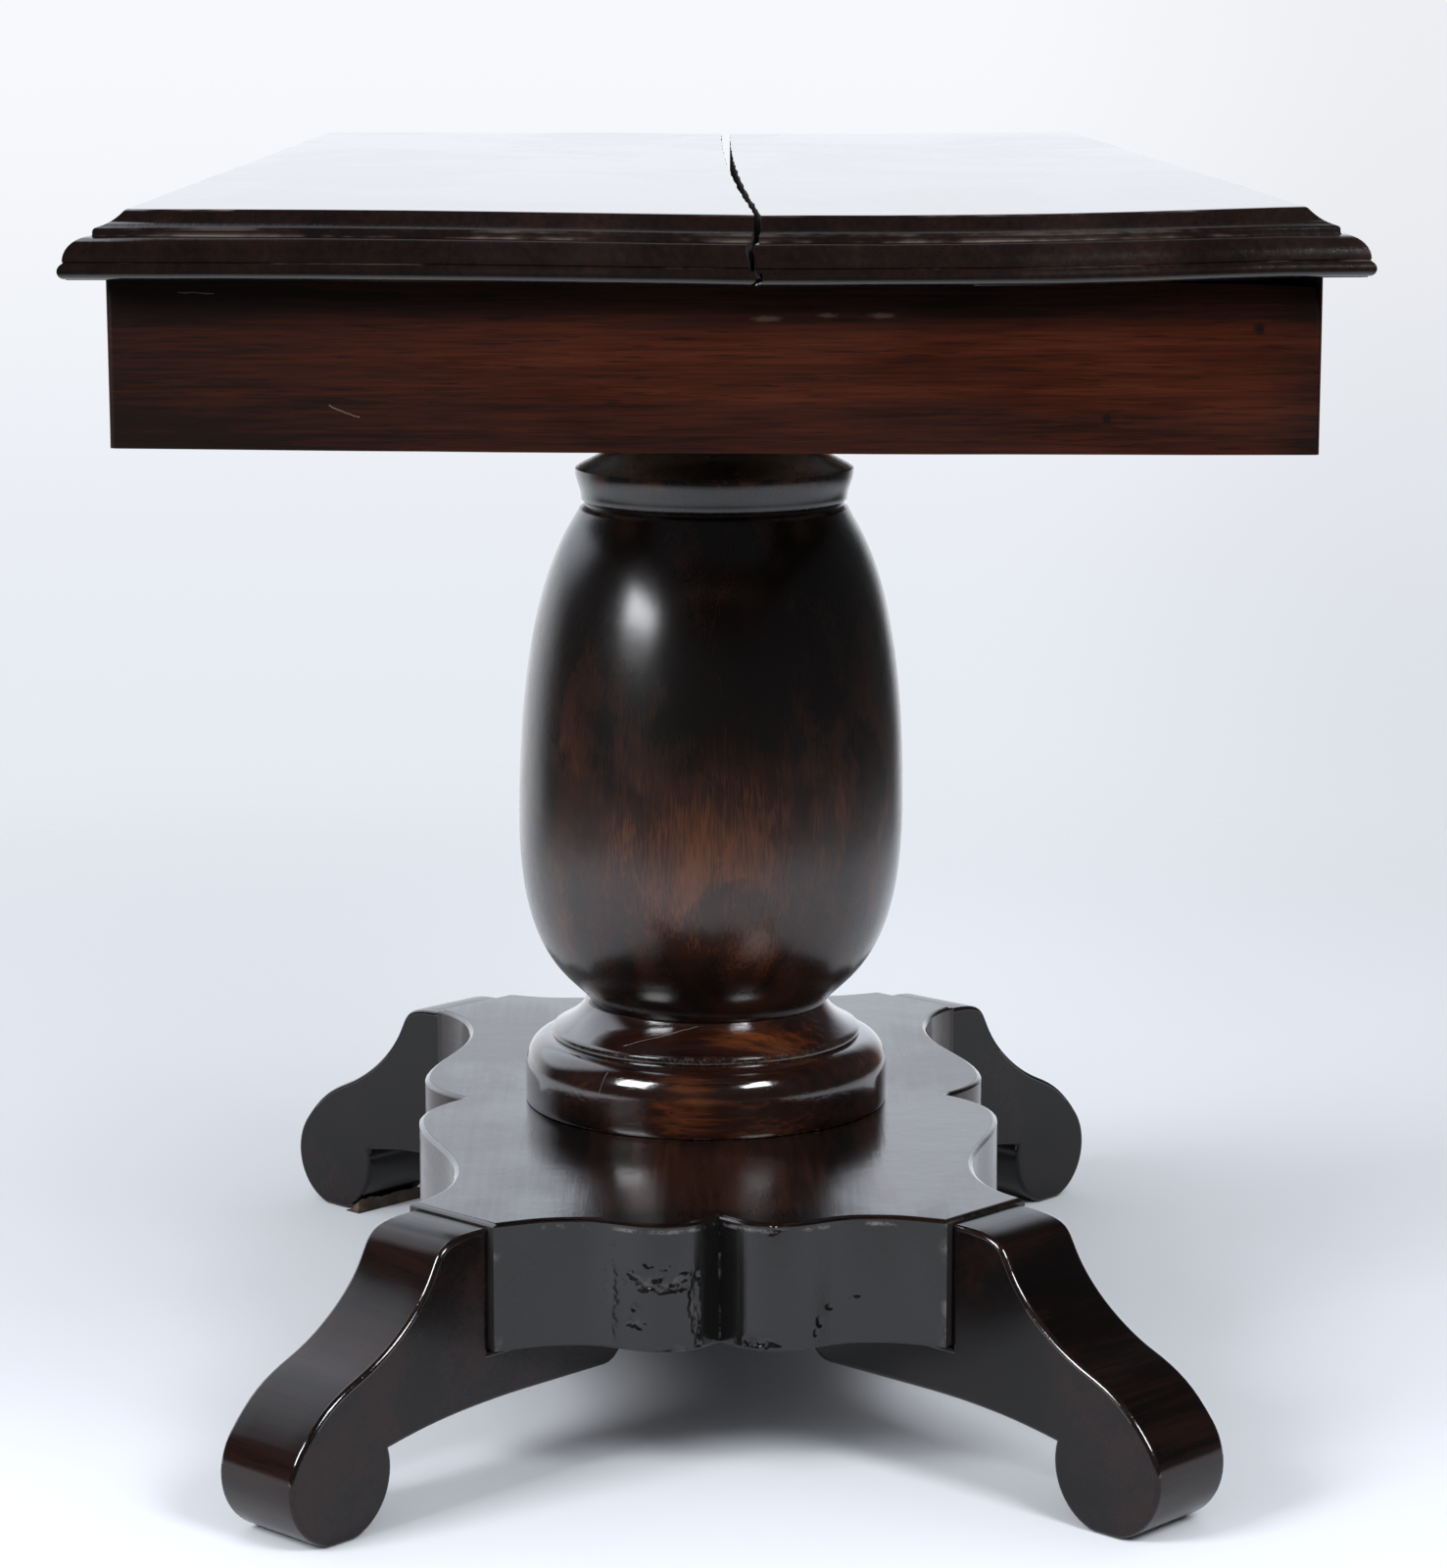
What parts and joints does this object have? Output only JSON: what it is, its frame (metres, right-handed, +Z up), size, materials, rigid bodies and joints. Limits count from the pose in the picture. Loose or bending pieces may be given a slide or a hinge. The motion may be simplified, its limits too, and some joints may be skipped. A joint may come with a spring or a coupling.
{
  "type": "pedestal side table",
  "caption": "Dark mahogany side table: a split, moulded rectangular top on an apron frame, carried by a turned vase on a brace-shaped platform with scroll legs.",
  "frame": {"origin": "on the floor under the centre of the top", "axes": "+Z up, +Y along the table towards its back end, +X across it to the right as seen from the front end"},
  "size_m": [0.6238, 1.3298, 0.7535],
  "materials": {
    "dark_mahogany": "worn dark French polish, glossy to satin",
    "raw_wood": "raw, aged and dusty",
    "iron": "dull, lightly rusted"
  },
  "bodies": {
    "root": {"top_board_left": "dark_mahogany", "top_board_right": "dark_mahogany", "apron_front": "dark_mahogany", "apron_back": "dark_mahogany", "apron_left": "dark_mahogany", "apron_right": "dark_mahogany", "pedestal_vase": "dark_mahogany", "pedestal_foot": "dark_mahogany", "platform": "dark_mahogany", "leg_front_left": "dark_mahogany", "leg_front_right": "dark_mahogany", "leg_back_left": "dark_mahogany", "leg_back_right": "dark_mahogany", "centre_bearer": "raw_wood", "bearer_front": "raw_wood", "bearer_back": "raw_wood", "wedge_upper": "raw_wood", "wedge_lower": "raw_wood", "packing_back_left": "raw_wood", "corner_block_front_left": "raw_wood", "corner_block_front_right": "raw_wood", "corner_block_back_left": "raw_wood", "corner_block_back_right": "raw_wood", "glue_block_front_left": "raw_wood", "glue_block_front_right": "raw_wood", "glue_block_back_left": "raw_wood", "glue_block_back_right": "raw_wood", "dowel_front_left_lower": "raw_wood", "dowel_front_left_upper": "raw_wood", "dowel_front_right_lower": "raw_wood", "dowel_front_right_upper": "raw_wood", "dowel_back_left_lower": "raw_wood", "dowel_back_left_upper": "raw_wood", "dowel_back_right_lower": "raw_wood", "dowel_back_right_upper": "raw_wood", "leg_screw_front_left": "iron", "leg_screw_front_right": "iron", "leg_screw_back_left": "iron", "leg_screw_back_right": "iron", "top_screw_front_left": "iron", "top_screw_front_right": "iron", "top_screw_back_left": "iron", "top_screw_back_right": "iron"}
  },
  "joints": []
}
